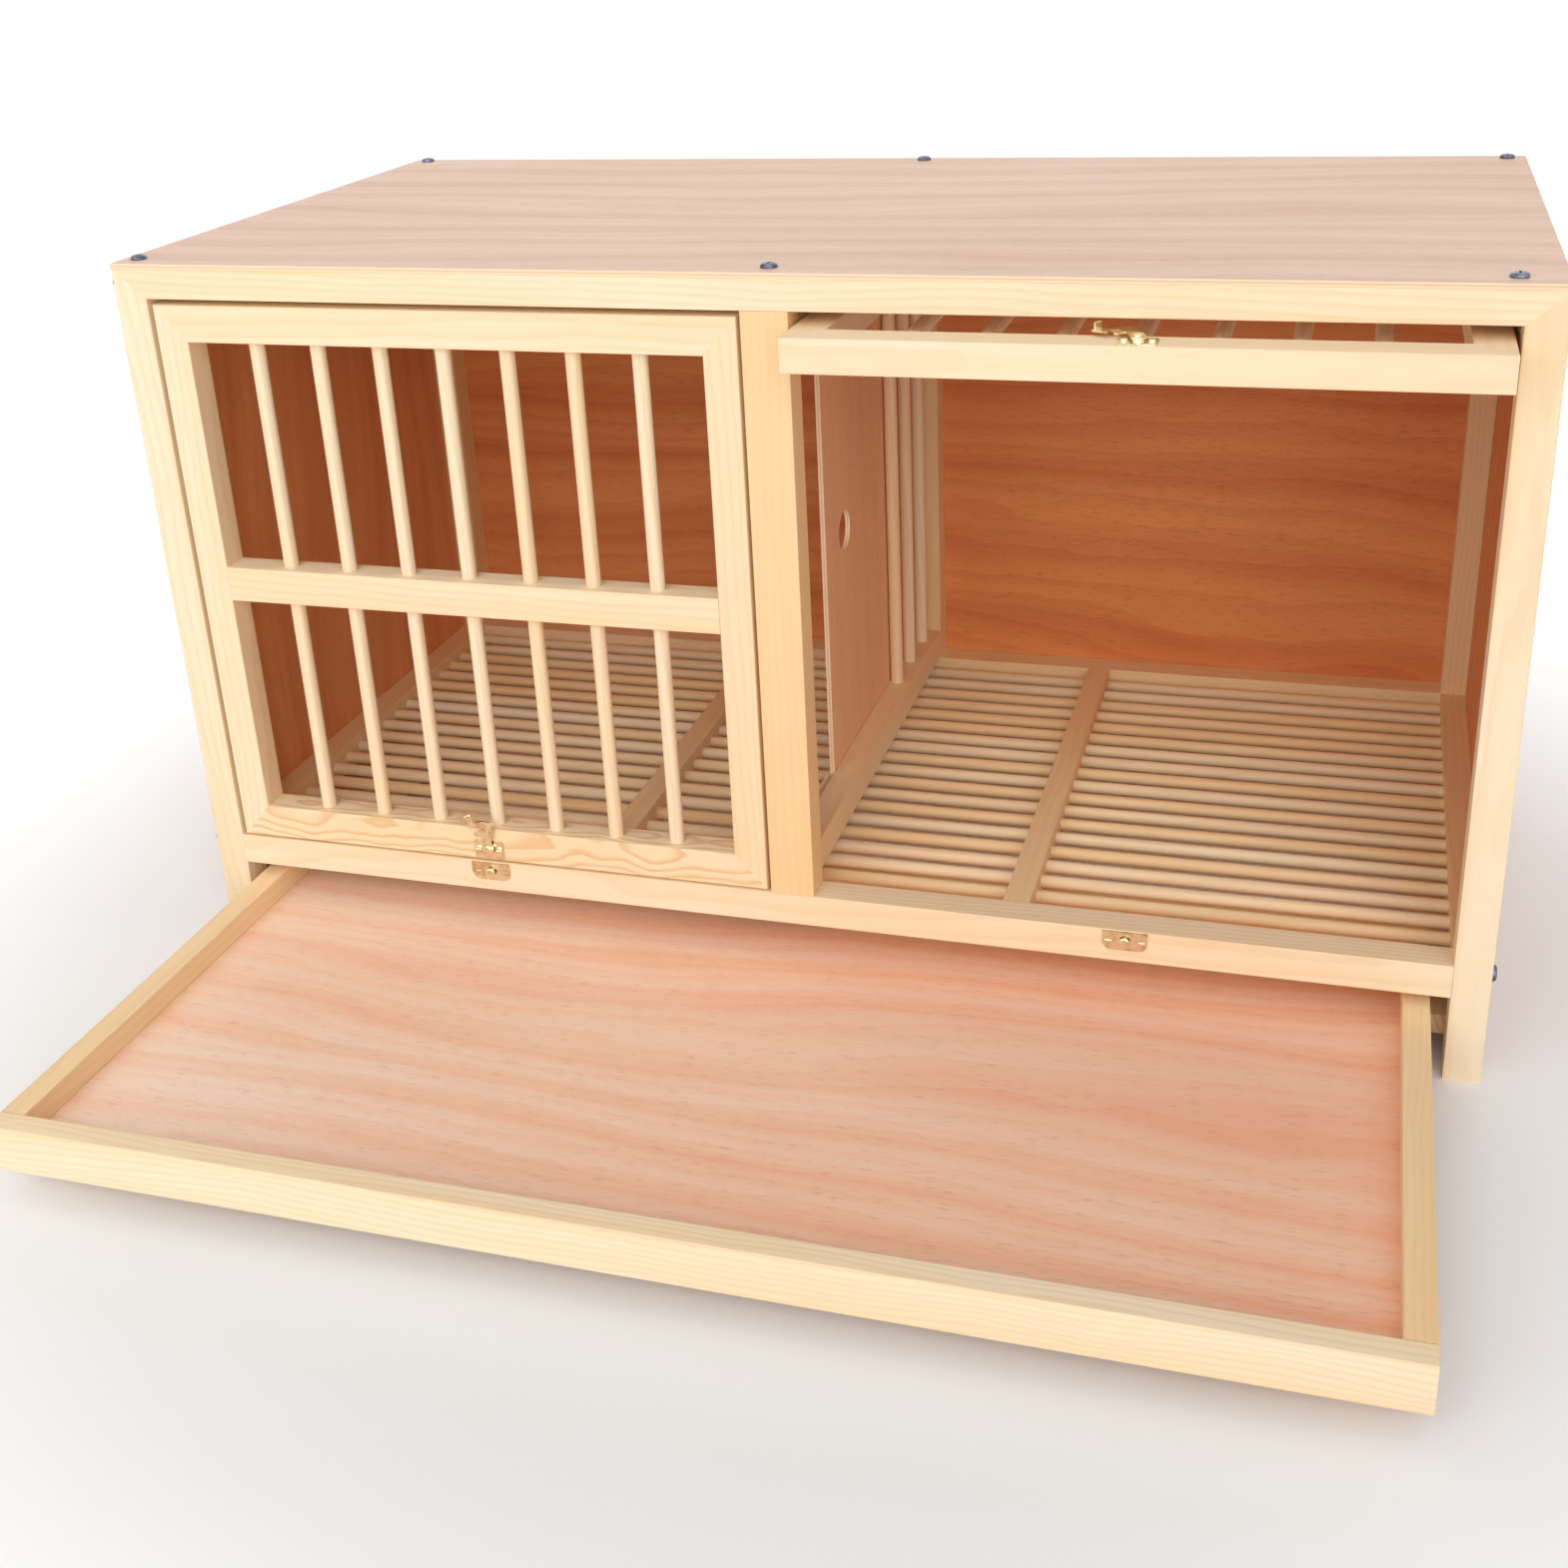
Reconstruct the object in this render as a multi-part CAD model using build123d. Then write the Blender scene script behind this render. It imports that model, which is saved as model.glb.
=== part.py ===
from build123d import *
import os
from math import cos, degrees, radians, sin

# Pigeon breeding cage: two compartments side by side under one plywood roof. Each has a barred
# door that swings up and slides back under the roof, and both share a barred floor, a divider
# with a sliding plywood panel, and one tray that pulls out below.
# Millimetres. X runs left to right, Y front to back, Z up from the ground.

os.makedirs("parts", exist_ok=True)

# Overall size
cage_width = 800.0
cage_depth = 400.0
cage_height = 450.0

# Timber and plywood stock
batten = 20.5
panel_thickness = 3.0
top_rail_height = 17.5
edge_easing = 0.6

# Clearances
dowel_clearance = 0.1
shank_clearance = 0.15
socket_end_gap = 0.3
slide_gap = 0.3
pin_fit = 0.05

# Frame
centre_post_width = 27.0
lower_rail_bottom = 53.4
half_width = cage_width / 2
post_face = half_width - batten
wall_face = half_width - panel_thickness
back_face = cage_depth - panel_thickness
rear_post_face = back_face - batten
frame_top = cage_height - panel_thickness
top_rail_bottom = frame_top - top_rail_height
lower_rail_top = lower_rail_bottom + batten
centre_half = centre_post_width / 2

# Barred floor
floor_rod_diameter = 8.0
floor_rod_pitch = 19.0
floor_rod_margin = 6.0  # least distance from the end rods' middles to the front and rear rails
floor_socket_depth = 10.0
crossbar_width = 16.0
crossbar_offset = 133.0
floor_rod_height = lower_rail_bottom + batten / 2
floor_middle = (batten + rear_post_face) / 2
floor_rod_count = int((rear_post_face - batten - 2 * floor_rod_margin) / floor_rod_pitch) + 1

# Doors
door_side_gap = 2.5
door_bottom_gap = 1.1
door_top_gap = 3.5
door_thickness = 19.0
door_inset = 1.0
door_stile_width = 20.0
door_rail_height = 22.0
door_middle_rail_rise = 166.0
door_rod_diameter = 9.0
door_rod_count = 7
door_socket_depth = 12.0
door_width = post_face - centre_half - 2 * door_side_gap
door_inner_edge = centre_half + door_side_gap
door_outer_edge = door_inner_edge + door_width
door_bottom = lower_rail_top + door_bottom_gap
door_top = top_rail_bottom - door_top_gap
door_middle_y = door_inset + door_thickness / 2
door_middle_rail_bottom = door_bottom + door_middle_rail_rise

# Door pins and the grooves that they slide in
door_pin_diameter = 4.0
door_pin_drop = 13.5  # from the door's top edge down to the pins
door_pin_bore_depth = 14.0
door_pin_end_gap = 0.6
door_pin_groove_depth = 6.0
door_groove_end_gap = 3.5  # from a stored door's pins to the grooves' back ends
door_stored_front = -27.0  # where the front edge of a stored door lies, ahead of the front face
runner_height = 19.0
door_pin_height = door_top - door_pin_drop
door_pin_reach = door_side_gap + door_pin_groove_depth - door_pin_end_gap
door_pin_to_bottom = door_pin_height - door_bottom
door_stored_pin = door_stored_front + door_pin_to_bottom
door_travel = door_stored_pin - door_middle_y
door_groove_back = door_stored_pin + door_pin_diameter / 2 + door_groove_end_gap

# Divider
divider_lower_rise = 2.6  # above the floor's rails
divider_upper_drop = 11.0  # from the door pins down to the upper rail's underside
divider_rod_diameter = 9.0
divider_rod_pitch = 40.0
divider_rod_count = 3
divider_last_rod_inset = 21.5  # ahead of the rear post
divider_socket_depth = 12.0
divider_lower_bottom = lower_rail_top + divider_lower_rise
divider_lower_top = divider_lower_bottom + batten
divider_upper_bottom = door_pin_height - divider_upper_drop
divider_last_rod = rear_post_face - divider_last_rod_inset

# Sliding divider panel, left of the bars
divider_panel_middle = -7.0
divider_panel_length = 250.0
divider_panel_back_gap = 5.5  # from the panel, as found, to the rear post
divider_lower_groove = 4.0
divider_upper_groove = 5.0
divider_upper_slack = 0.5
finger_hole_diameter = 27.0
finger_hole_setback = 45.0
divider_panel_front = rear_post_face - divider_panel_back_gap - divider_panel_length

# Tray, pulled out
tray_side_gap = 10.0
tray_back_gap = 4.5
tray_top_gap = 6.4
tray_pull = 282.0
tray_front_height = 28.0
tray_front_thickness = 13.5
tray_strip = 15.0
ledge_width = 40.0
ledge_height = 12.0
tray_half_width = post_face - tray_side_gap
tray_length = rear_post_face - tray_back_gap
tray_top = lower_rail_bottom - tray_top_gap
tray_strip_bottom = tray_top - tray_strip
tray_bottom = tray_strip_bottom - panel_thickness
ledge_top = tray_bottom - slide_gap

# The origin lies on the ground under the middle of the whole, which is this far behind the front face.
origin_setback = (cage_depth - tray_pull) / 2

# Screws
panel_screw_head = 9.5
panel_screw_dome = 2.5
panel_screw_rounding = 2.0
panel_screw_shank = 3.5
panel_screw_length = 16.0
frame_screw_shank = 4.0
frame_screw_length = 45.0
frame_screw_drop = 5.0  # below the lower rails' top
recess_length = 5.2
recess_width = 1.1
recess_depth = 1.3
screw_edge_distance = 8.75
front_roof_screw_setback = 14.5
right_roof_screw_inset = 24.0  # the front right one was driven into the rail, not the post
rear_roof_screw_inset = 9.0
front_frame_screw_setback = 6.5
rear_frame_screw_setback = 5.5  # behind the rear posts' front faces
rail_screw_ys = (37.0, 208.0)
strip_screw_ys = (80.0, 300.0)
runner_screw_drop = 6.0
rear_side_screw_rise = 40.0  # from the ground up to the lower ones
rear_side_screw_drop = 47.0  # from the frame's top down to the upper ones
rear_back_screw_rise = 30.0
rear_back_screw_drop = 27.0
back_screw_spread = 130.0

# Brass latches
latch_offset = 200.0
latch_sheet = 1.0
latch_plate_width = 20.0
latch_plate_height = 13.0
latch_plate_corner = 2.0
latch_plate_rise = 1.0  # above the door's lower edge
latch_pivot_rise = 8.0
latch_knob_drop = 6.9  # below the lower rail's top
latch_stud_radius = 1.5
latch_shoulder_radius = 3.0
latch_head_radius = 3.2
latch_head_thickness = 1.0
latch_head_rounding = 0.5
hook_thickness = 1.2
arc_steps = 24
hook_gap = 0.3
hook_ring_radius = 4.0
hook_neck_width = 5.5
hook_neck_lean = 23.0
hook_joint_overlap = 1.0
hook_blade_half = 4.5
hook_blade_behind = 38.0
hook_blade_ahead = 16.0
hook_slot_clearance = 0.3
hook_tip_reach = 27.0
hook_tip_spread = 15.0
hook_tab_length = 5.5
hook_tab_thickness = 1.2
hook_tab_reach = 3.5
hook_tab_inset = 0.8
hook_tab_rounding = 0.4
catch_plate_width = 26.0
catch_plate_height = 12.0
catch_plate_drop = 0.5  # below the lower rail's top
catch_corner = 5.5
latch_screw_head = 4.0
latch_screw_rounding = 0.6
latch_slot_width = 0.6
latch_slot_depth = 0.4
latch_screw_shank = 2.0
latch_screw_length = 9.0
latch_screw_offset = 7.0
catch_screw_offset = 9.6
left_hook_open = 160.0  # degrees from latched, as found
right_hook_open = 130.0
latch_plate_bottom = door_bottom + latch_plate_rise
latch_pivot_height = door_bottom + latch_pivot_rise
latch_knob_height = lower_rail_top - latch_knob_drop
catch_plate_bottom = lower_rail_top - catch_plate_drop - catch_plate_height
hook_reach = latch_pivot_height - latch_knob_height
hook_blade_inner = hook_reach - hook_blade_half
hook_blade_outer = hook_reach + hook_blade_half
hook_back = -latch_sheet - hook_gap
hook_front = hook_back - hook_thickness
knob_head_back = hook_front - hook_gap

parts = {}


def place(x, y, z):
    """A point, with y given as the distance back from the cage's front face."""
    return Vector(x, y - origin_setback, z)


def block(x0, x1, y0, y1, z0, z1):
    """A squared piece between the given limits."""
    return Pos(*place((x0 + x1) / 2, (y0 + y1) / 2, (z0 + z1) / 2)) * Box(x1 - x0, y1 - y0, z1 - z0)


def timber(x0, x1, y0, y1, z0, z1):
    """A timber batten between the given limits, with its four long edges eased."""
    lengths = (x1 - x0, y1 - y0, z1 - z0)
    along = (Axis.X, Axis.Y, Axis.Z)[lengths.index(max(lengths))]
    piece = block(x0, x1, y0, y1, z0, z1)
    return fillet(piece.edges().filter_by(along), edge_easing)


def bar(radius, start, end):
    """A round bar from one point to another."""
    first = place(*start)
    run = place(*end) - first
    upright = Cylinder(radius, run.length, align=(Align.CENTER, Align.CENTER, Align.MIN))
    return Plane(origin=first, z_dir=run) * upright


def mirrored(solid):
    """The same piece on the other side of the cage."""
    return mirror(solid, about=Plane.YZ)


def mitred(piece, outer, inner, kept):
    """The piece cut straight through from a frame's outer corner to its inner one, seen from the front.

    Each is given as x and z, and kept is a point on the side that stays.
    """
    start, run = place(outer[0], 0, outer[1]), Vector(inner[0] - outer[0], 0, inner[1] - outer[1])
    normal = run.cross(Vector(0, 1, 0))
    if normal.dot(Vector(kept[0] - outer[0], 0, kept[1] - outer[1])) < 0:
        normal = -normal
    return split(piece, bisect_by=Plane(origin=start, z_dir=normal), keep=Keep.TOP)


def save(name, shapes):
    """Keep a piece, or a group of identical pieces, under its name."""
    shapes = list(shapes) if isinstance(shapes, (list, tuple)) else [shapes]
    solids = [solid for shape in shapes for solid in shape.solids()]
    parts[name] = solids[0] if len(solids) == 1 else Compound(children=solids)


# Screws: pan heads with a cross recess; each place is where the head sits and which way it faces.
def pan_screw(spot, outward, head, dome, shank, length):
    cap = Cylinder(head / 2, dome, align=(Align.CENTER, Align.CENTER, Align.MIN))
    cap = fillet(cap.edges().group_by(Axis.Z)[-1], panel_screw_rounding)
    stem = Pos(0, 0, -length / 2) * Cylinder(shank / 2, length)
    arm = Pos(0, 0, dome) * Box(recess_length, recess_width, 2 * recess_depth)
    screw = cap + stem - arm - Rot(0, 0, 90) * arm
    return Plane(origin=place(*spot), z_dir=outward) * screw


def drill(piece, spots, shank, length):
    """The piece with a hole for the shank of each screw that enters it."""
    reach = length + socket_end_gap
    for (x, y, z), outward in spots:
        ox, oy, oz = outward
        end = (x - ox * reach, y - oy * reach, z - oz * reach)
        piece -= bar(shank / 2 + shank_clearance, (x, y, z), end)
    return piece


def both_sides(spots):
    """The given places and the same places on the other side of the cage."""
    return list(spots) + [((-x, y, z), (-ox, oy, oz)) for (x, y, z), (ox, oy, oz) in spots]


up, back, right = (0, 0, 1), (0, 1, 0), (1, 0, 0)
rear_post_middle = wall_face - screw_edge_distance
rear_side_screw_heights = (rear_side_screw_rise, frame_top - rear_side_screw_drop)
rear_back_screw_heights = (rear_back_screw_rise, frame_top - rear_back_screw_drop)
rear_roof_screw_y = cage_depth - rear_roof_screw_inset
rear_frame_screw_y = rear_post_face + rear_frame_screw_setback
rail_heights = (floor_rod_height, frame_top - screw_edge_distance)
runner_bottom = door_pin_height - runner_height / 2

roof_spots = both_sides([((rear_post_middle, rear_roof_screw_y, cage_height), up)]) + [
    ((batten / 2 - half_width, front_roof_screw_setback, cage_height), up),
    ((half_width - right_roof_screw_inset, front_roof_screw_setback, cage_height), up),
    ((0, front_roof_screw_setback, cage_height), up),
    ((0, rear_roof_screw_y, cage_height), up),
]
side_spots = [((half_width, y, z), right) for y in rail_screw_ys for z in rail_heights]
side_spots += [((half_width, y, runner_bottom + runner_screw_drop / 2), right) for y in strip_screw_ys]
side_spots += [((half_width, y, ledge_top - ledge_height / 2), right) for y in strip_screw_ys]
rear_spot_y = back_face - batten / 2
side_spots += [((half_width, rear_spot_y, z), right) for z in rear_side_screw_heights]
back_spots = [((rear_post_middle, cage_depth, z), back) for z in rear_back_screw_heights]
back_spots += [((back_screw_spread, cage_depth, z), back) for z in rail_heights]
panel_spots = roof_spots + both_sides(side_spots) + both_sides(back_spots)
frame_spots = both_sides([
    ((half_width, y, z), right)
    for y in (front_frame_screw_setback, rear_frame_screw_y)
    for z in (lower_rail_top - frame_screw_drop, frame_top - screw_edge_distance)
])


def screwed(piece):
    """The piece with the holes of every panel and frame screw that reaches it."""
    piece = drill(piece, panel_spots, panel_screw_shank, panel_screw_length)
    return drill(piece, frame_spots, frame_screw_shank, frame_screw_length)


save("panel_screws", [
    pan_screw(spot, outward, panel_screw_head, panel_screw_dome, panel_screw_shank, panel_screw_length)
    for spot, outward in panel_spots
])
save("frame_screws", [
    pan_screw(spot, outward, panel_screw_head, panel_screw_dome, frame_screw_shank, frame_screw_length)
    for spot, outward in frame_spots
])


# Groove that a door pin slides in, cut into a face at x that looks towards the door.
def pin_groove(face, depth_sign):
    half = door_pin_diameter / 2 + slide_gap
    start = door_middle_y - half
    inner, outer = sorted((face, face + depth_sign * door_pin_groove_depth))
    return block(inner, outer, start, door_groove_back, door_pin_height - half, door_pin_height + half)


outer_groove = pin_groove(post_face, 1)
inner_grooves = pin_groove(centre_half, -1) + pin_groove(-centre_half, 1)

# Posts of the frame; the front ones are mitred with the top rail.
frame_corner, frame_inner_corner = (half_width, frame_top), (post_face, top_rail_bottom)
front_right_post = timber(post_face, half_width, 0, batten, 0, frame_top) - outer_groove
front_right_post = mitred(front_right_post, frame_corner, frame_inner_corner, (half_width, 0))
save("front_right_post", screwed(front_right_post))
save("front_left_post", screwed(mirrored(front_right_post)))
rear_right_post = timber(post_face, wall_face, rear_post_face, back_face, 0, frame_top)
save("rear_right_post", screwed(rear_right_post))
save("rear_left_post", screwed(mirrored(rear_right_post)))
centre_front_post = timber(-centre_half, centre_half, 0, batten, lower_rail_top, top_rail_bottom)
save("centre_front_post", centre_front_post - inner_grooves)
rear_centre_half = batten / 2
save("centre_rear_post", timber(
    -rear_centre_half, rear_centre_half, rear_post_face, back_face, lower_rail_top, top_rail_bottom
))

# Rails of the frame
top_limits = (top_rail_bottom, frame_top)
lower_limits = (lower_rail_bottom, lower_rail_top)
front_top_rail = timber(-half_width, half_width, 0, batten, *top_limits)
front_top_rail = mitred(front_top_rail, frame_corner, frame_inner_corner, (0, frame_top))
front_top_rail = mitred(mirrored(front_top_rail), frame_corner, frame_inner_corner, (0, frame_top))
save("front_top_rail", screwed(front_top_rail))
front_lower_rail = screwed(timber(-post_face, post_face, 0, batten, *lower_limits))
save("rear_top_rail", screwed(timber(-post_face, post_face, rear_post_face, back_face, *top_limits)))
save("rear_lower_rail", screwed(timber(-post_face, post_face, rear_post_face, back_face, *lower_limits)))
side_top_rail = timber(post_face, wall_face, batten, rear_post_face, *top_limits)
save("right_top_rail", screwed(side_top_rail))
save("left_top_rail", screwed(mirrored(side_top_rail)))


# Barred floor: one row of dowels across both compartments, let into the side rails.
first_floor_rod = floor_middle - (floor_rod_count - 1) / 2 * floor_rod_pitch
floor_rod_ys = [first_floor_rod + i * floor_rod_pitch for i in range(floor_rod_count)]
floor_rod_end = post_face + floor_socket_depth


def floor_bars(radius, reach):
    return [bar(radius, (-reach, y, floor_rod_height), (reach, y, floor_rod_height)) for y in floor_rod_ys]


floor_holes = Compound(children=floor_bars(
    floor_rod_diameter / 2 + dowel_clearance, floor_rod_end + socket_end_gap
))
save("floor_rods", floor_bars(floor_rod_diameter / 2, floor_rod_end))
side_lower_rail = timber(post_face, wall_face, batten, rear_post_face, *lower_limits) - floor_holes
save("right_lower_rail", screwed(side_lower_rail))
save("left_lower_rail", screwed(mirrored(side_lower_rail)))
crossbar_start = crossbar_offset - crossbar_width / 2
crossbar = timber(
    crossbar_start, crossbar_start + crossbar_width, batten, rear_post_face, *lower_limits
) - floor_holes
save("right_floor_crossbar", crossbar)
save("left_floor_crossbar", mirrored(crossbar))

# Plywood panels
save("roof_panel", screwed(block(-half_width, half_width, 0, cage_depth, frame_top, cage_height)))
save("back_panel", screwed(block(-half_width, half_width, back_face, cage_depth, 0, frame_top)))
side_panel = block(wall_face, half_width, batten, back_face, 0, frame_top)
save("right_side_panel", screwed(side_panel))
save("left_side_panel", screwed(mirrored(side_panel)))

# Grooved runners on the side walls that carry the outer door pins
runner = timber(
    post_face, wall_face, batten, rear_post_face, runner_bottom, runner_bottom + runner_height
) - outer_groove
save("right_door_runner", screwed(runner))
save("left_door_runner", screwed(mirrored(runner)))

# Divider: two rails and a few bars at the back; the plywood panel slides beside the bars.
groove_half = panel_thickness / 2 + slide_gap
groove_sides = (divider_panel_middle - groove_half, divider_panel_middle + groove_half)
lower_groove_floor = divider_lower_top - divider_lower_groove
upper_groove_roof = divider_upper_bottom + divider_upper_groove
divider_rod_ys = [divider_last_rod - i * divider_rod_pitch for i in range(divider_rod_count)]


def divider_bars(radius, bottom, top):
    return [bar(radius, (0, y, bottom), (0, y, top)) for y in divider_rod_ys]


divider_rod_bottom = divider_lower_top - divider_socket_depth
divider_rod_top = divider_upper_bottom + divider_socket_depth
divider_holes = Compound(children=divider_bars(
    divider_rod_diameter / 2 + dowel_clearance,
    divider_rod_bottom - socket_end_gap,
    divider_rod_top + socket_end_gap,
))
save("divider_rods", divider_bars(divider_rod_diameter / 2, divider_rod_bottom, divider_rod_top))
lower_groove = block(*groove_sides, batten, rear_post_face, lower_groove_floor, divider_lower_top)
save("divider_lower_rail", timber(
    -rear_centre_half, rear_centre_half, batten, rear_post_face, divider_lower_bottom, divider_lower_top
) - lower_groove - divider_holes)
upper_groove = block(*groove_sides, batten, rear_post_face, divider_upper_bottom, upper_groove_roof)
save("divider_upper_rail", timber(
    -centre_half, centre_half, batten, rear_post_face, divider_upper_bottom, divider_upper_bottom + batten
) - upper_groove - divider_holes - inner_grooves)

divider_panel_bottom = lower_groove_floor + slide_gap
divider_panel_top = upper_groove_roof - divider_upper_slack
panel_x0 = divider_panel_middle - panel_thickness / 2
panel_x1 = divider_panel_middle + panel_thickness / 2
finger_y = divider_panel_front + finger_hole_setback
finger_z = (divider_panel_bottom + divider_panel_top) / 2
divider_panel = block(
    panel_x0, panel_x1, divider_panel_front, divider_panel_front + divider_panel_length,
    divider_panel_bottom, divider_panel_top,
)
finger_hole = bar(
    finger_hole_diameter / 2, (panel_x0 - 1, finger_y, finger_z), (panel_x1 + 1, finger_y, finger_z)
)
save("divider_panel", divider_panel - finger_hole)

# Ledges under the tray
ledge = timber(
    wall_face - ledge_width, wall_face, batten, rear_post_face, ledge_top - ledge_height, ledge_top
)
save("right_tray_ledge", screwed(ledge))
save("left_tray_ledge", screwed(mirrored(ledge)))

# Tray: a plywood bottom under a low rim of strips, with a deeper board at the front
tray_front = -tray_pull
tray_board_back = tray_front + tray_front_thickness
tray_back = tray_front + tray_length
tray_strip_back = tray_back - tray_strip
save("tray_front_board", timber(
    -tray_half_width, tray_half_width, tray_front, tray_board_back, tray_top - tray_front_height, tray_top
))
save("tray_back_strip", timber(
    -tray_half_width, tray_half_width, tray_strip_back, tray_back, tray_strip_bottom, tray_top
))
tray_side = timber(
    tray_half_width - tray_strip, tray_half_width, tray_board_back, tray_strip_back,
    tray_strip_bottom, tray_top,
)
save("tray_right_side", tray_side)
save("tray_left_side", mirrored(tray_side))
save("tray_bottom", block(
    -tray_half_width, tray_half_width, tray_board_back, tray_back, tray_bottom, tray_strip_bottom
))


# Latch plates, hooks and catch plates, drawn for a latch whose middle is at x.
def screw_slot(x, z, top):
    """The driver slot across a small screw's head, whose top is at the given y."""
    return block(
        x - latch_screw_head, x + latch_screw_head, top, top + latch_slot_depth,
        z - latch_slot_width / 2, z + latch_slot_width / 2,
    )


def latch_screw(x, z, seat):
    """A small round-headed screw on the door's latch plate."""
    head = bar(latch_screw_head / 2, (x, seat, z), (x, seat - latch_sheet, z))
    head = fillet(head.edges().group_by(Axis.Y)[0], latch_screw_rounding)
    shank = bar(latch_screw_shank / 2, (x, seat, z), (x, seat + latch_screw_length, z))
    return head - screw_slot(x, z, seat - latch_sheet) + shank


def catch_screw(x, z):
    """A flush screw in the catch plate."""
    head = bar(latch_screw_head / 2, (x, -latch_sheet, z), (x, 0, z))
    shank = bar(latch_screw_shank / 2, (x, 0, z), (x, latch_screw_length, z))
    return head - screw_slot(x, z, -latch_sheet) + shank


def screw_hole(x, z, seat):
    radius = latch_screw_shank / 2 + shank_clearance
    reach = latch_screw_length + socket_end_gap
    return bar(radius, (x, seat - 2 * latch_sheet, z), (x, seat + reach, z))


latch_screw_xs = (-latch_screw_offset, latch_screw_offset)
catch_screw_xs = (-catch_screw_offset, catch_screw_offset)
catch_middle_z = catch_plate_bottom + catch_plate_height / 2


def latch_plate(x):
    """The plate on the door, with the shouldered stud that the hook turns on."""
    plate = block(
        x - latch_plate_width / 2, x + latch_plate_width / 2, door_inset - latch_sheet, door_inset,
        latch_plate_bottom, latch_plate_bottom + latch_plate_height,
    )
    plate = fillet(plate.edges().filter_by(Axis.Y), latch_plate_corner)
    seat = door_inset - latch_sheet
    shoulder_end = hook_back + pin_fit
    head_start = hook_front - pin_fit
    pivot = latch_pivot_height
    shoulder = bar(latch_shoulder_radius, (x, seat, pivot), (x, shoulder_end, pivot))
    stud = bar(latch_stud_radius, (x, seat, pivot), (x, head_start, pivot))
    head = bar(latch_head_radius, (x, head_start, pivot), (x, head_start - latch_head_thickness, pivot))
    head = fillet(head.edges().group_by(Axis.Y)[0], latch_head_rounding)
    plate = plate + shoulder + stud + head
    for offset in latch_screw_xs:
        plate -= screw_hole(x + offset, pivot, seat)
    return plate


def catch_plate(x):
    """The plate on the lower rail, with the knob that the hook catches."""
    plate = block(
        x - catch_plate_width / 2, x + catch_plate_width / 2, -latch_sheet, 0,
        catch_plate_bottom, catch_plate_bottom + catch_plate_height,
    )
    lower_corners = plate.edges().filter_by(Axis.Y).group_by(Axis.Z)[0]
    plate = fillet(lower_corners, catch_corner)
    knob = latch_knob_height
    stem = bar(latch_stud_radius, (x, -latch_sheet, knob), (x, knob_head_back, knob))
    knob_front = knob_head_back - latch_head_thickness
    head = bar(latch_head_radius, (x, knob_head_back, knob), (x, knob_front, knob))
    head = fillet(head.edges().group_by(Axis.Y)[0], latch_head_rounding)
    for offset in catch_screw_xs:
        near = (x + offset, -2 * latch_sheet, catch_middle_z)
        far = (x + offset, latch_sheet, catch_middle_z)
        plate -= bar(latch_screw_head / 2 + shank_clearance, near, far)
    return plate + stem + head


def arc_band(inner, outer, start, end):
    """A curved strip between two radii and two angles, flat on the sketch plane."""
    steps = arc_steps
    angles = [radians(start + (end - start) * i / steps) for i in range(steps + 1)]
    far = [(outer * cos(a), outer * sin(a)) for a in angles]
    near = [(inner * cos(a), inner * sin(a)) for a in reversed(angles)]
    return make_face(Polyline(*far, *near, close=True))


def hook(x, opened):
    """The swing hook, turned by the given angle from latched, its notch open to the right.

    Its tip runs on past the notch as a thumb piece with a turned-up end.
    """
    down = -90.0
    half_slot = latch_stud_radius + hook_slot_clearance
    slot_end = degrees(half_slot / hook_reach)
    neck_length = hook_blade_inner + hook_joint_overlap
    ring = Circle(hook_ring_radius)
    neck = Pos(neck_length / 2, 0) * Rectangle(neck_length, hook_neck_width)
    neck = Rot(0, 0, down - hook_neck_lean) * neck
    blade = arc_band(hook_blade_inner, hook_blade_outer, down - hook_blade_behind, down + hook_blade_ahead)
    slot_mouth = down + 2 * hook_blade_ahead
    slot = arc_band(hook_reach - half_slot, hook_reach + half_slot, down - slot_end, slot_mouth)
    eye = Circle(latch_stud_radius + pin_fit)
    tip_end = down + hook_blade_ahead
    tip_root = hook_blade_outer - hook_joint_overlap
    tip = arc_band(tip_root, hook_tip_reach, tip_end - hook_tip_spread, tip_end)
    profile = ring + neck + blade + tip - slot - eye
    flat = extrude(profile, amount=hook_thickness)
    tab = Box(
        hook_tab_thickness, hook_tab_length, hook_tab_reach, align=(Align.MAX, Align.CENTER, Align.MIN)
    )
    tab = fillet(tab.edges().filter_by(Axis.Z), hook_tab_rounding)
    tab_at = Pos(hook_tip_reach - hook_tab_inset, 0, hook_thickness)
    tab = Rot(0, 0, tip_end - hook_tip_spread / 2) * tab_at * tab
    shape = Rot(0, 0, -opened) * (flat + tab)
    facing = Plane(origin=place(x, hook_back, latch_pivot_height), x_dir=(1, 0, 0), z_dir=(0, -1, 0))
    return facing * shape


# Catches on the lower rail
catch_spots = [side * latch_offset + offset for side in (-1, 1) for offset in catch_screw_xs]
for x in catch_spots:
    front_lower_rail -= screw_hole(x, catch_middle_z, 0)
save("front_lower_rail", front_lower_rail)
save("left_catch_plate", catch_plate(-latch_offset))
save("right_catch_plate", catch_plate(latch_offset))
save("catch_screws", [catch_screw(x, catch_middle_z) for x in catch_spots])


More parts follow.
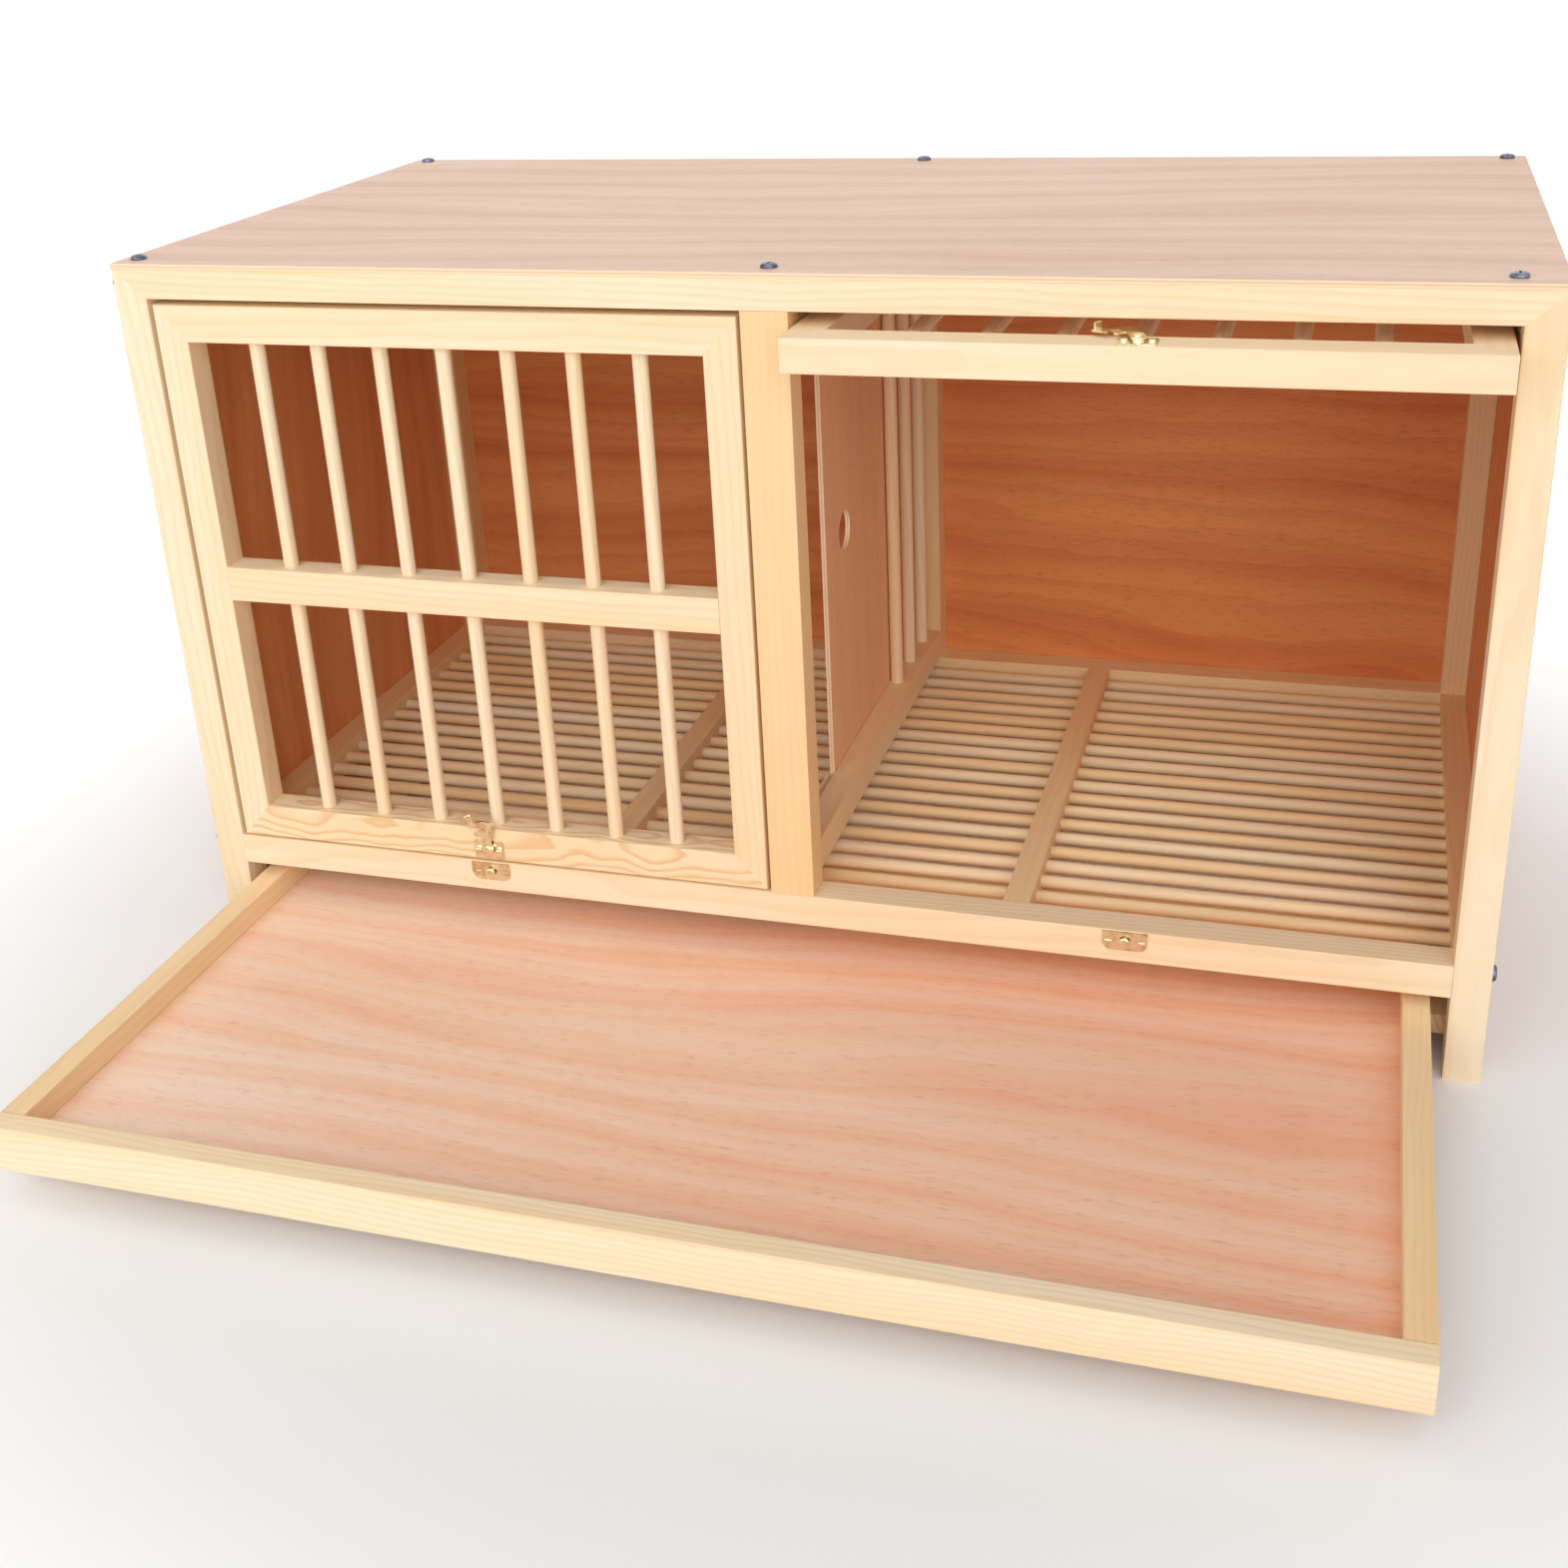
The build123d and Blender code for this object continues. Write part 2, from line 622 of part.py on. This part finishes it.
# Doors: a frame of two stiles and three rails, mitred at its corners, with upright bars, drawn closed.
# The inner stile is next to the middle of the cage and the outer one next to the wall; sign is -1 on the
# left and 1 on the right.
def door(side_name, sign):
    def span(a, b):
        return sorted((sign * a, sign * b))

    y_limits = (door_inset, door_inset + door_thickness)
    inner_stile_face = door_inner_edge + door_stile_width
    outer_stile_face = door_outer_edge - door_stile_width
    pitch = (outer_stile_face - inner_stile_face) / (door_rod_count + 1)
    rod_xs = [sign * (inner_stile_face + (i + 1) * pitch) for i in range(door_rod_count)]
    rod_bottom = door_bottom + door_rail_height - door_socket_depth
    rod_top = door_top - door_rail_height + door_socket_depth

    def rods(radius, bottom, top):
        return [bar(radius, (x, door_middle_y, bottom), (x, door_middle_y, top)) for x in rod_xs]

    rod_holes = Compound(children=rods(
        door_rod_diameter / 2 + dowel_clearance, rod_bottom - socket_end_gap, rod_top + socket_end_gap
    ))
    bore_radius = door_pin_diameter / 2 + pin_fit
    pin_y, pin_z = door_middle_y, door_pin_height

    def bore(edge, inward):
        end = edge + inward * door_pin_bore_depth
        return bar(bore_radius, (sign * edge, pin_y, pin_z), (sign * end, pin_y, pin_z))

    def pin(edge, inward):
        near = edge - inward * door_pin_reach
        end = edge + inward * (door_pin_bore_depth - door_pin_end_gap)
        return bar(door_pin_diameter / 2, (sign * near, pin_y, pin_z), (sign * end, pin_y, pin_z))

    stiles = {
        "inner_stile": (door_inner_edge, inner_stile_face),
        "outer_stile": (door_outer_edge, outer_stile_face),
    }
    rails = {
        "top_rail": (door_top, door_top - door_rail_height),
        "bottom_rail": (door_bottom, door_bottom + door_rail_height),
    }
    door_middle = (sign * (door_inner_edge + door_outer_edge) / 2, (door_bottom + door_top) / 2)
    pin_bores = bore(door_inner_edge, 1) + bore(door_outer_edge, -1)
    pieces = {}
    for name, x_limits in stiles.items():
        pieces[name] = timber(*span(*x_limits), *y_limits, door_bottom, door_top) - pin_bores
    for name, z_limits in rails.items():
        rail = timber(*span(door_inner_edge, door_outer_edge), *y_limits, *sorted(z_limits))
        pieces[name] = rail - rod_holes - pin_bores
    for stile_name, (edge, face) in stiles.items():
        for rail_name, (end, inside) in rails.items():
            corner, inner_corner = (sign * edge, end), (sign * face, inside)
            beside, along = (sign * edge, door_middle[1]), (door_middle[0], end)
            pieces[stile_name] = mitred(pieces[stile_name], corner, inner_corner, beside)
            pieces[rail_name] = mitred(pieces[rail_name], corner, inner_corner, along)
    pieces["middle_rail"] = timber(
        *span(inner_stile_face, outer_stile_face), *y_limits,
        door_middle_rail_bottom, door_middle_rail_bottom + door_rail_height,
    ) - rod_holes
    latch_x = sign * latch_offset
    for offset in latch_screw_xs:
        pieces["bottom_rail"] -= screw_hole(latch_x + offset, latch_pivot_height, door_inset - latch_sheet)
    pieces["rods"] = rods(door_rod_diameter / 2, rod_bottom, rod_top)
    pieces["latch_plate"] = latch_plate(latch_x)
    plate_front = door_inset - latch_sheet
    pieces["latch_screws"] = [
        latch_screw(latch_x + offset, latch_pivot_height, plate_front) for offset in latch_screw_xs
    ]
    pieces["pins"] = [pin(door_inner_edge, 1), pin(door_outer_edge, -1)]
    pieces["latch_hook"] = hook(latch_x, left_hook_open if sign < 0 else right_hook_open)
    return {f"{side_name}_door_{name}": shapes for name, shapes in pieces.items()}


for name, shapes in door("left", -1).items():
    save(name, shapes)

# The right door has swung up level and slid back under the roof.
pin_line = place(0, door_middle_y, door_pin_height)
stored_at = pin_line + Vector(0, door_travel, 0)
stored = Pos(*stored_at) * Rot(-90, 0, 0) * Pos(*-pin_line)
for name, shapes in door("right", 1).items():
    shapes = shapes if isinstance(shapes, list) else [shapes]
    save(name, [stored * shape for shape in shapes])

for name, shape in parts.items():
    export_step(shape, f"parts/{name}.step")
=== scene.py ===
from math import cos, radians, sin

import bmesh
import bpy
from mathutils import Euler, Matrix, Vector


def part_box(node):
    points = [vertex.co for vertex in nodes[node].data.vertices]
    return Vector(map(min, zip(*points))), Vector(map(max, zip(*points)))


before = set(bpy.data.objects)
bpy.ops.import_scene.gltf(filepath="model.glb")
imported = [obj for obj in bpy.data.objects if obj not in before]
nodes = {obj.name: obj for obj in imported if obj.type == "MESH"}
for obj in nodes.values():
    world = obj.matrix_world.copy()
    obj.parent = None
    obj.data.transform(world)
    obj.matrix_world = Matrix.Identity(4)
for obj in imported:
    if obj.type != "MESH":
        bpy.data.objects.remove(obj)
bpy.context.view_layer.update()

# Posts and rails of the frame: planed pale pine battens about 20 mm square, butted or mitred and screwed.
# Each is sawn from its own place in a log, so its rings run along it as lines or long arches and end in
# arcs on its sawn ends. The doors, the divider and the tray's rim are made of the same wood.


class Value:
    """A socket of a finish, so that an expression on values adds its Math nodes."""

    def __init__(self, finish, socket):
        self.finish = finish
        self.socket = socket

    def math(self, operation, *terms):
        return self.finish.add("Math", {"operation": operation}, dict(enumerate(terms)))

    def __add__(self, other):
        return self.math("ADD", self, other)

    def __radd__(self, other):
        return self.math("ADD", other, self)

    def __sub__(self, other):
        return self.math("SUBTRACT", self, other)

    def __rsub__(self, other):
        return self.math("SUBTRACT", other, self)

    def __mul__(self, other):
        return self.math("MULTIPLY", self, other)

    def __rmul__(self, other):
        return self.math("MULTIPLY", other, self)

    def __truediv__(self, other):
        return self.math("DIVIDE", self, other)

    def __pow__(self, other):
        return self.math("POWER", self, other)

    def __abs__(self):
        return self.math("ABSOLUTE", self)

    def fraction(self):
        return self.math("FRACT", self)

    def nearest(self):
        return self.math("ROUND", self)

    def least(self, other):
        return self.math("MINIMUM", self, other)

    def most(self, other):
        return self.math("MAXIMUM", self, other)


class Finish:
    """A material or the air being made: any node comes from add, by its type, settings and sockets."""

    def __init__(self, owner, shader="Principled BSDF"):
        owner.use_nodes = True
        self.owner = owner
        self.tree = owner.node_tree
        self.surface = self.tree.nodes[shader]

    def add(self, kind, settings, sockets, output=0):
        node = self.tree.nodes.new("ShaderNode" + kind)
        for name, setting in settings.items():
            setattr(node, name, setting)
        for name, value in sockets.items():
            self.feed(node.inputs[name], value)
        return Value(self, node.outputs[output])

    def feed(self, socket, value):
        if isinstance(value, Value):
            self.tree.links.new(value.socket, socket)
        else:
            socket.default_value = value

    def set(self, name, value):
        self.feed(self.surface.inputs[name], value)

    def place(self, middle):
        """X, Y and Z of the surface in metres, from the piece's middle."""
        at = self.add("TexCoord", {}, {}, "Object")
        at = self.add("Mapping", {}, {"Vector": at, "Location": [-value for value in middle]})
        return [self.add("SeparateXYZ", {}, {"Vector": at}, i) for i in range(3)]

    def facing(self, axis):
        """How far the surface faces along an axis, either way, from 0 to 1."""
        normal = self.add("TexCoord", {}, {}, "Normal")
        return abs(self.add("SeparateXYZ", {}, {"Vector": normal}, axis))

    def point(self, x, y, z):
        return self.add("CombineXYZ", {}, {0: x, 1: y, 2: z})

    def noise(self, at, detail=2.0, roughness=0.5):
        sockets = {"Vector": at, "Scale": 1.0, "Detail": detail, "Roughness": roughness}
        return self.add("TexNoise", {"noise_dimensions": "3D"}, sockets)

    def chance(self, value):
        """A number from 0 to 1 that jumps from each whole value to the next."""
        return self.add("TexWhiteNoise", {"noise_dimensions": "1D"}, {"W": value})

    def ramp(self, value, low, high):
        """0 below low, 1 above high and a smooth change between."""
        sockets = {"Value": value, "From Min": low, "From Max": high}
        return self.add("MapRange", {"interpolation_type": "SMOOTHSTEP"}, sockets)

    def mix(self, share, first, second):
        """The first colour, with that share of the second."""
        return self.add("Mix", {"data_type": "RGBA"}, {0: share, 6: first, 7: second}, 2)

    def bump(self, height, depth):
        self.set("Normal", self.add("Bump", {}, {"Height": height, "Distance": depth, "Strength": 1.0}))

    def coat(self, *names):
        """Put the finished material on the pieces of these names."""
        for name in names:
            nodes[name].material_slots[0].material = self.owner


def linear(red, green, blue):
    """A colour of 0 to 255 as seen on the screen, as the shader wants it."""
    steps = [channel / 255 for channel in (red, green, blue)]
    return [s / 12.92 if s < 0.04045 else ((s + 0.055) / 1.055) ** 2.4 for s in steps] + [1.0]


def longest(node):
    """A node's middle, its size and the axis that it is longest along."""
    low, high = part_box(node)
    size = [high[i] - low[i] for i in range(3)]
    return [low[i] + size[i] / 2 for i in range(3)], size, size.index(max(size))


ring_width = 0.0042
pith_distance = 0.034
turn_from_batten_to_batten = radians(137.5)
early_wood = linear(252, 232, 199)
late_wood = linear(236, 198, 146)
warm_wood = linear(250, 212, 158)
end_wood = linear(222, 184, 134)
end_late_wood = linear(188, 140, 90)


def grain(finish, along, across, seed, figure, distance, wander):
    """Latewood lines, fine fibre streaks and slow drift of tone of a piece sawn from a log.

    Along and across are metres from the piece's middle; the pith lies the given distance off to one
    side; figure says how far the rings wander, which makes arches on the faces, and wander how often.
    A number that multiplies along, first or second is how often the pattern changes in a metre.
    """
    first, second = across
    turn = turn_from_batten_to_batten * seed
    slow = finish.noise(finish.point(along * wander + seed * 7.3, first * 16, second * 16))
    swirl = finish.noise(finish.point(along * 14 + seed * 3.1, first * 70, second * 70), 3.0)
    off_first = first - distance * cos(turn)
    off_second = second - distance * sin(turn)
    radius = (off_first * off_first + off_second * off_second) ** 0.5
    radius = radius + along * 0.012 + (slow - 0.5) * (0.02 * figure) + (swirl - 0.5) * (0.003 * figure)
    ring = (radius / ring_width + seed * 0.37).fraction()
    late = finish.ramp(ring, 0.35, 0.86) * (1 - finish.ramp(ring, 0.88, 1.0))
    fibre = finish.noise(finish.point(along * 26 + seed, first * 1500, second * 1500), 2.0, 0.7)
    drift = finish.noise(finish.point(along * 2.2 + seed * 11.7, first * 40, second * 40), 3.0, 0.6)
    return late, fibre, drift


def worn_edge(finish, across, half, reach=0.0016):
    """1 at a batten's long edges, fading to 0 a little way from them."""
    near = [abs(value) / limit for value, limit in zip(across, half)]
    lesser = near[0].least(near[1])
    return finish.ramp(lesser, 1 - reach / min(half), 1.0)


def pine(node, seed, figure=1.0, strength=0.26, tone=0.0, distance=pith_distance, wander=3.5, count=1):
    """Bare pine for a batten, or for a row of so many round bars, each with its own tone and rings.

    Strength is how dark the latewood is against the rest, and tone how warm the whole piece is; for pieces
    deep in the cage, part of that warmth is painted warm shade.
    """
    finish = Finish(bpy.data.materials.new(node + "_pine"))
    middle, size, run = longest(node)
    place = finish.place(middle)
    along = place[run]
    sides = [i for i in range(3) if i != run]
    half = [size[i] / 2 for i in sides]
    across = [place[i] for i in sides]
    own = None
    if count > 1:
        row = max(sides, key=lambda i: size[i])
        thin = min(sides, key=lambda i: size[i])
        pitch = (size[row] - size[thin]) / (count - 1)
        from_first = place[row] + (size[row] - size[thin]) / 2
        number = (from_first / pitch).nearest()
        own = finish.chance(number + seed * 31.0)
        across = [from_first - number * pitch, place[thin]]
        along = along + own * 5.0
    late, fibre, drift = grain(finish, along, across, seed, figure, distance, wander)
    tint = finish.ramp(drift, 0.35, 0.72) * 0.5 + tone
    if own is not None:
        tint = tint + (own - 0.4) * 0.8
    ground = finish.mix(tint.least(1.0).most(0.0), early_wood, warm_wood)
    colour = finish.mix(late * strength, ground, late_wood)
    streak = finish.ramp(fibre, 0.56, 0.8) * 0.28
    colour = finish.mix(streak, colour, late_wood)
    if own is None:
        sawn = finish.ramp(finish.facing(run), 0.6, 0.9)
        colour = finish.mix(sawn * 0.75, colour, finish.mix(late * 0.8, end_wood, end_late_wood))
        edge = worn_edge(finish, across, half) * finish.ramp(drift, 0.3, 0.7)
        colour = finish.mix(edge * 0.35, colour, late_wood)
    finish.set("Base Color", colour)
    finish.set("Roughness", 0.58 + fibre * 0.16)
    finish.bump(fibre * 0.6 + late * 0.4, 0.00018)
    finish.coat(node)


frame_battens = [
    "front_left_post", "front_right_post", "rear_left_post", "rear_right_post",
    "centre_front_post", "centre_rear_post",
    "front_top_rail", "front_lower_rail", "rear_top_rail", "rear_lower_rail",
    "left_top_rail", "right_top_rail", "left_lower_rail", "right_lower_rail",
]
# Warmer tones: the centre front post and the front top rail by their own wood; the rear posts, the centre
# rear post and the lower rails deep in the cage partly by painted warm shade.
warm_tone_and_painted_shade = {
    "centre_front_post": 0.9, "front_top_rail": 0.05, "rear_left_post": 0.8, "rear_right_post": 0.7,
    "rear_lower_rail": 0.6, "left_lower_rail": 0.7, "right_lower_rail": 0.7, "centre_rear_post": 0.5,
}
for number, node in enumerate(frame_battens):
    pine(node, seed=number + 1, tone=warm_tone_and_painted_shade.get(node, -0.05))

# Barred floor: turned softwood dowels let into the side rails, in every tone from cream to honey, and the
# two crossbars that they pass through.
floor_rod_count = 19
# The rods' and crossbars' overall warmth is partly painted warm shade, since they lie deep inside the cage.
pine("floor_rods", seed=21, strength=0.3, tone=0.3, count=floor_rod_count)
for number, node in enumerate(("left_floor_crossbar", "right_floor_crossbar")):
    pine(node, seed=23 + number, tone=0.6)

# Runners under the roof and ledges for the tray: the same battens, screwed on the side walls, mostly out of
# sight. The runners are grooved for the pins of the doors.
hidden_battens = ("left_door_runner", "right_door_runner", "left_tray_ledge", "right_tray_ledge")
for number, node in enumerate(hidden_battens):
    pine(node, seed=26 + number, tone=0.2)

# Divider: two grooved battens between the centre posts, and the turned bars that close its back part. The
# plywood panel that slides in the grooves is with the other sheets.
divider_rod_count = 3
pine("divider_lower_rail", seed=31, tone=0.3)
pine("divider_upper_rail", seed=32, tone=0.2)
pine("divider_rods", seed=33, count=divider_rod_count)

# Doors: stiles and rails of the palest pine, mitred at the corners, around turned bars. The left door's
# bottom rail is cut close to the heart of the tree, so its face shows a swirling figure.
door_rod_count = 7
for door_seed, side in ((40, "left"), (50, "right")):
    pine(side + "_door_inner_stile", seed=door_seed + 1)
    pine(side + "_door_outer_stile", seed=door_seed + 2, tone=0.1)
    pine(side + "_door_top_rail", seed=door_seed + 3)
    pine(side + "_door_middle_rail", seed=door_seed + 4)
    pine(side + "_door_rods", seed=door_seed + 6, strength=0.35, tone=-0.1, count=door_rod_count)
pine("left_door_bottom_rail", seed=45, figure=1.5, strength=1.0, tone=0.1, distance=0.007, wander=13.0)
pine("right_door_bottom_rail", seed=55)

# Tray rim: a deep front board, planed smooth, and three low strips, butted round the edge of the plywood
# bottom.
pine("tray_front_board", seed=61, figure=1.6, strength=0.3, distance=0.016)
for number, node in enumerate(("tray_left_side", "tray_right_side", "tray_back_strip")):
    pine(node, seed=62 + number, tone=0.6)

# Plywood sheets: 3 mm of three rotary-cut veneers, bare. The face veneer is a pinkish hardwood with long
# wavy bands, where the knife ran out of one ring into the next, and short dark pores; the edges show the
# crossed inner ply.
ply_edge = linear(255, 228, 194)
inner_ply = linear(232, 186, 142)
pore_brown = linear(150, 84, 52)


def plywood(node, run, pale, deep, seed, band=0.5, pores=0.5, count_wide=26.0, drift=0.0, inside=None):
    """Bare plywood whose face grain runs along the given axis, from a pale to a deep tone.

    Band is how strong the bands are, count_wide how many there are in a metre of width, and pores how
    dark the pores are. Drift is how much deeper the tone is for each metre to the right: a painted fall-off
    of the light from left to right.
    For a wall, inside gives the sign of the side that faces into the cage and two redder tones for that
    face, which are painted warm shade of the same veneer.
    A number that multiplies along or across is how often the pattern changes in a metre.
    """
    finish = Finish(bpy.data.materials.new(node + "_plywood"))
    middle, size, _ = longest(node)
    through = size.index(min(size))
    wide = [i for i in range(3) if i not in (run, through)][0]
    place = finish.place(middle)
    along = place[run] + seed * 1.7
    across = place[wide]
    depth = place[through] / size[through]
    sweep = finish.noise(finish.point(along * 1.3, across * 4.5, seed * 2.3), 2.0, 0.45)
    wander = finish.noise(finish.point(along * 5.0, across * 22, seed * 5.9), 3.0, 0.55)
    wave = (across + sweep * 0.22 + wander * 0.012) * count_wide
    ring = wave.fraction()
    dark = finish.ramp(ring, 0.3, 0.85) * (1 - finish.ramp(ring, 0.88, 1.0))
    faint = finish.ramp((wave * 3.0 + wander * 1.5).fraction(), 0.3, 0.9)
    fibre = finish.noise(finish.point(along * 16, across * 1300, seed), 3.0, 0.75)
    blotch = finish.noise(finish.point(along * 3.0, across * 7.0, seed * 9.1), 3.0, 0.6)
    pore = finish.noise(finish.point(along * 90, across * 2600, seed * 4.4), 1.0, 0.5)
    pore = finish.ramp(pore, 0.64, 0.76)
    tone = dark * band * 0.5 + faint * band * 0.3 + (fibre - 0.5) * 0.5 + (blotch - 0.5) * 0.8 + 0.2
    tone = tone + place[0] * drift
    tone = tone.least(1.0).most(0.0)
    colour = finish.mix(tone, pale, deep)
    # The face towards the inside of the cage takes redder, deeper tones: painted warm shade.
    if inside:
        sign, shade_pale, shade_deep = inside
        shaded_face = finish.ramp(depth * sign, 0.2, 0.3)
        colour = finish.mix(shaded_face, colour, finish.mix(tone, shade_pale, shade_deep))
    colour = finish.mix(pore * pores, colour, pore_brown)
    core = 1 - finish.ramp(abs(depth), 0.14, 0.2)
    edge = 1 - finish.ramp(finish.facing(through), 0.5, 0.8)
    colour = finish.mix(edge * 0.9, colour, finish.mix(core * 0.7, ply_edge, inner_ply))
    finish.set("Base Color", colour)
    finish.set("Roughness", 0.5 + fibre * 0.2)
    finish.bump(fibre * 0.5 - pore * 0.6, 0.00015)
    finish.coat(node)


x_axis, z_axis = 0, 2
roof_pale, roof_deep = linear(242, 208, 186), linear(206, 160, 129)
# The roof and the tray bottom deepen to the right by drift: painted fall-off of the light, which is brighter
# on the left.
plywood("roof_panel", x_axis, roof_pale, roof_deep, seed=1, band=0.5, count_wide=17.0, drift=0.15)
tray_pale, tray_deep = linear(255, 224, 200), linear(250, 170, 126)
plywood("tray_bottom", x_axis, tray_pale, tray_deep, seed=2, band=0.46, count_wide=20.0, drift=0.65)
wall_pale, wall_deep = linear(238, 198, 172), linear(208, 150, 118)
# The inner faces of the back and side walls are painted redder and deeper: painted warm shade inside the
# cage.
back_wall_painted_shade = (-1, linear(248, 166, 98), linear(208, 108, 52))
plywood("back_panel", x_axis, wall_pale, wall_deep, seed=3, band=0.6, count_wide=16.0, inside=back_wall_painted_shade)
side_wall_painted_shade = (linear(244, 170, 112), linear(208, 120, 70))
plywood("left_side_panel", z_axis, wall_pale, wall_deep, seed=4, band=0.4, inside=(1, *side_wall_painted_shade))
plywood("right_side_panel", z_axis, wall_pale, wall_deep, seed=5, band=0.4, inside=(-1, *side_wall_painted_shade))
plywood("divider_panel", z_axis, linear(255, 208, 164), linear(236, 168, 122), seed=6, band=0.25, pores=0.4)

# Screws: pressed steel with a dark blue-grey plating, driven a little proud of the wood. The pins of the
# doors are drawn steel wire.


def metal(name, colour, tarnish, rough, seed, node_names):
    """Sheet or wire metal with a slightly uneven plating and fine rubs."""
    finish = Finish(bpy.data.materials.new(name))
    x, y, z = finish.place((0, 0, 0))
    cloud = finish.noise(finish.point(x * 160 + seed, y * 160, z * 160), 3.0, 0.6)
    rub = finish.noise(finish.point(x * 900 + seed, y * 2400, z * 5200), 2.0, 0.6)
    finish.set("Base Color", finish.mix(finish.ramp(cloud, 0.42, 0.7), colour, tarnish))
    finish.set("Metallic", 1.0)
    finish.set("Roughness", rough + (cloud - 0.5) * 0.2 + (rub - 0.5) * 0.16)
    finish.bump(rub, 0.00003)
    finish.coat(*node_names)


screw_nodes = ["panel_screws", "frame_screws"]
metal("screw_plating", linear(122, 126, 138), linear(84, 86, 96), rough=0.42, seed=1, node_names=screw_nodes)
pin_nodes = ["left_door_pins", "right_door_pins"]
metal("pin_wire", linear(200, 200, 198), linear(160, 160, 160), rough=0.3, seed=2, node_names=pin_nodes)

# Latches: thin stamped brass, plated bright. A plate with a swing hook is screwed on each door's bottom
# rail, and a catch plate with a knob on the frame's front lower rail.
latch_nodes = ["left_catch_plate", "right_catch_plate", "catch_screws"]
for side in ("left", "right"):
    latch_nodes += [side + "_door_latch_plate", side + "_door_latch_screws", side + "_door_latch_hook"]
brass, dull_brass = linear(248, 238, 206), linear(206, 188, 142)
metal("latch_brass", brass, dull_brass, rough=0.2, seed=3, node_names=latch_nodes)

# Studio: a plain white floor that runs into white air all round, under broad, soft daylight, most of it from
# the front, so that it reaches into the cage.
half_floor = 60.0
floor_form = bmesh.new()
bmesh.ops.create_grid(floor_form, x_segments=1, y_segments=1, size=half_floor)
floor = bpy.data.objects.new("studio_floor", bpy.data.meshes.new("studio_floor"))
floor_form.to_mesh(floor.data)
floor_form.free()
bpy.context.scene.collection.objects.link(floor)


def in_sight(finish):
    """1 for what the camera sees directly, in metal or through glass, and 0 for what only gives light."""
    seen, mirrored, through = [finish.add("LightPath", {}, {}, "Is %s Ray" % ray)
                               for ray in ("Camera", "Glossy", "Transmission")]
    return seen.most(mirrored).most(through)


ground = Finish(bpy.data.materials.new("floor_white"))
ground.set("Base Color", linear(250, 250, 250))
ground.set("Roughness", 0.9)
ground.set("Specular IOR Level", 0.0)
sideways, backwards, _ = ground.place((0, 0, 0))
cage_reach = 0.42
clear_of_cage = 0.8
far = ground.ramp((sideways * sideways + backwards * backwards) ** 0.5, cage_reach, clear_of_cage)
ground.set("Emission Color", ground.mix(in_sight(ground) * far, linear(0, 0, 0), linear(255, 255, 255)))
ground.set("Emission Strength", 0.3)
floor.data.materials.append(ground.owner)

air = Finish(bpy.data.worlds.new("studio_air"), "Background")
air_light = 0.38
air.set("Color", linear(255, 255, 255))
air.set("Strength", air_light + in_sight(air) * (1.0 - air_light))
bpy.context.scene.world = air.owner


def lamp(name, kind, strength, tilt, heading, spread, place=(0, 0, 0)):
    """A broad light. Tilt is how far from overhead it stands, and at heading 0 it stands in front.

    Spread is a sun's width in degrees, or a softbox's in metres.
    """
    light = bpy.data.lights.new(name, kind)
    light.energy = strength
    if kind == "SUN":
        light.angle = radians(spread)
    else:
        light.size = spread
    holder = bpy.data.objects.new(name, light)
    holder.rotation_euler = (radians(tilt), 0, radians(heading))
    holder.location = place
    bpy.context.scene.collection.objects.link(holder)


softbox_place = (-0.75, -1.85, 1.15)
lamp("front_light", "SUN", strength=1.13, tilt=65, heading=22, spread=56)
lamp("top_light", "SUN", strength=0.4, tilt=16, heading=-20, spread=60)
lamp("back_light", "SUN", strength=0.7, tilt=62, heading=190, spread=60)
lamp("left_softbox", "AREA", strength=10.0, tilt=64, heading=-22, spread=1.3, place=softbox_place)

# Camera: just right of the middle and above the roof, turned left and down onto the tray, as far off as a
# hand-held picture of the cage.
camera_place = (0.3049, -1.0078, 0.6476)
camera_heading = 17.59
camera_dip = 23.33
camera_roll = -2.82
lens_length = 43.28
film_width = 36.0
film_shift = (-0.0027, -0.0685)
nearest_seen, farthest_seen = 0.05, 200.0
lens = bpy.data.cameras.new("photo_camera")
lens.sensor_width = film_width
lens.lens = lens_length
lens.shift_x, lens.shift_y = film_shift
lens.clip_start = nearest_seen
lens.clip_end = farthest_seen
camera = bpy.data.objects.new("photo_camera", lens)
turn = Euler((0, 0, radians(camera_heading))).to_matrix()
turn = turn @ Euler((radians(90 - camera_dip), 0, 0)).to_matrix()
turn = turn @ Euler((0, 0, radians(camera_roll))).to_matrix()
camera.rotation_euler = turn.to_euler()
camera.location = camera_place
bpy.context.scene.collection.objects.link(camera)
bpy.context.scene.camera = camera
bpy.context.scene.view_settings.view_transform = "Standard"
